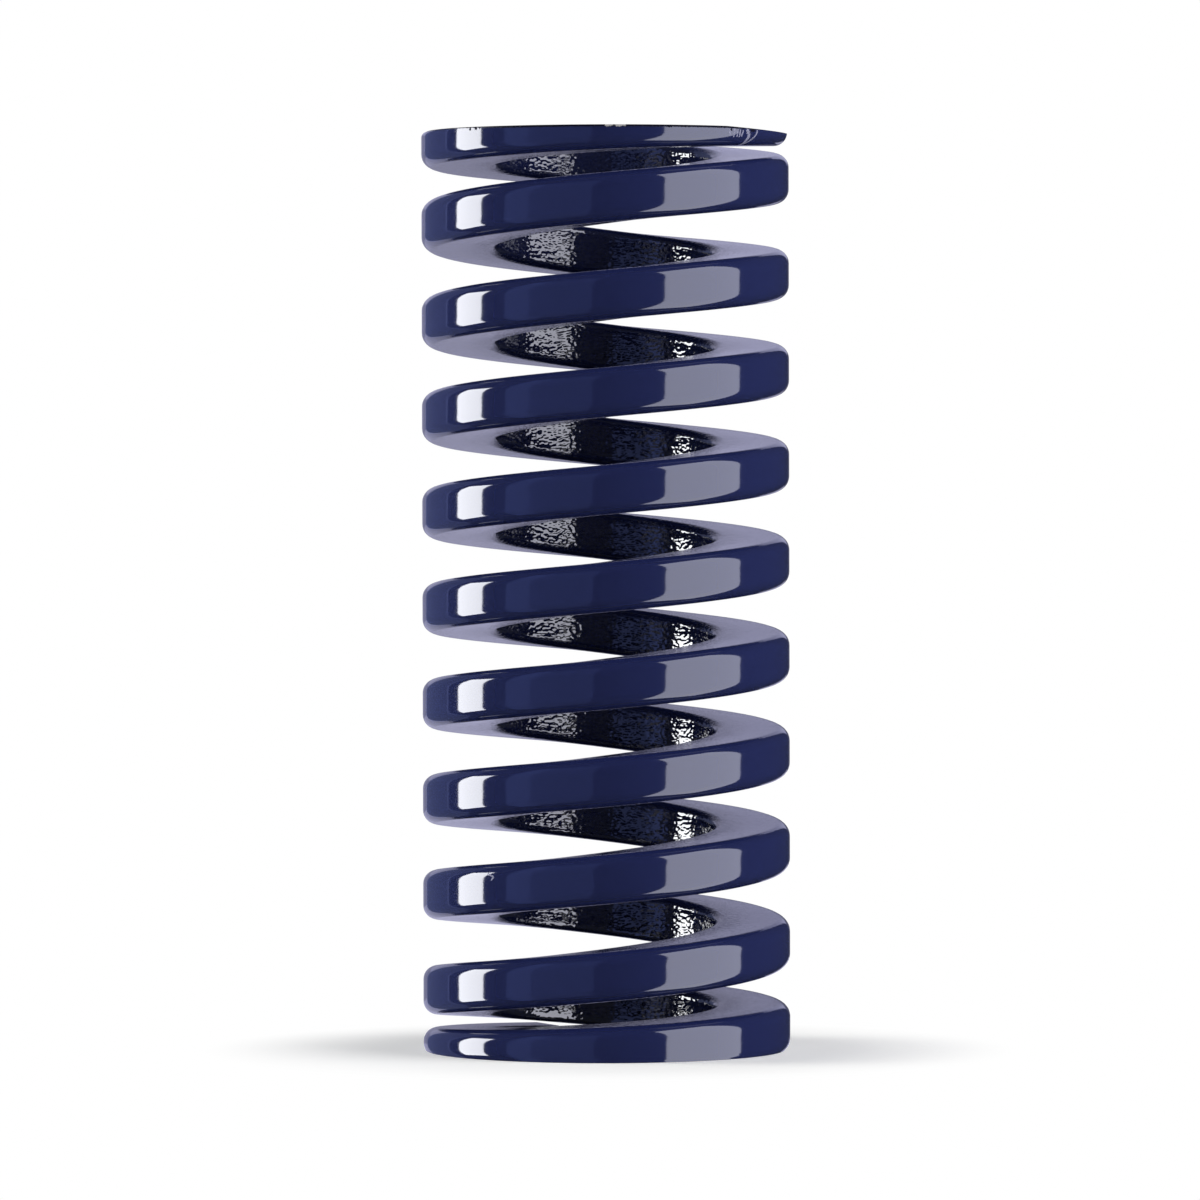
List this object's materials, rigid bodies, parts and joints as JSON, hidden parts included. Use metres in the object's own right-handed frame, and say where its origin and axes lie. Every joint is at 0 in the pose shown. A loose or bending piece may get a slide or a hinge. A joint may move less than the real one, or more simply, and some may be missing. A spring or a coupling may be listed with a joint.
{
  "type": "die spring",
  "caption": "Rectangular-wire compression spring, right-handed, with closed ends ground flat to stand on and a clear bore for a guide rod.",
  "frame": {"origin": "centre of the bottom ground end, on the spring's axis", "axes": "+Z along the spring's axis, from the bottom ground end to the top one; -Y towards the viewer of the picture"},
  "size_m": [0.03, 0.03, 0.075],
  "materials": {
    "enamel": "glossy dark blue enamel over shot-peened wire"
  },
  "bodies": {
    "root": {"die_spring": "enamel"}
  },
  "joints": []
}
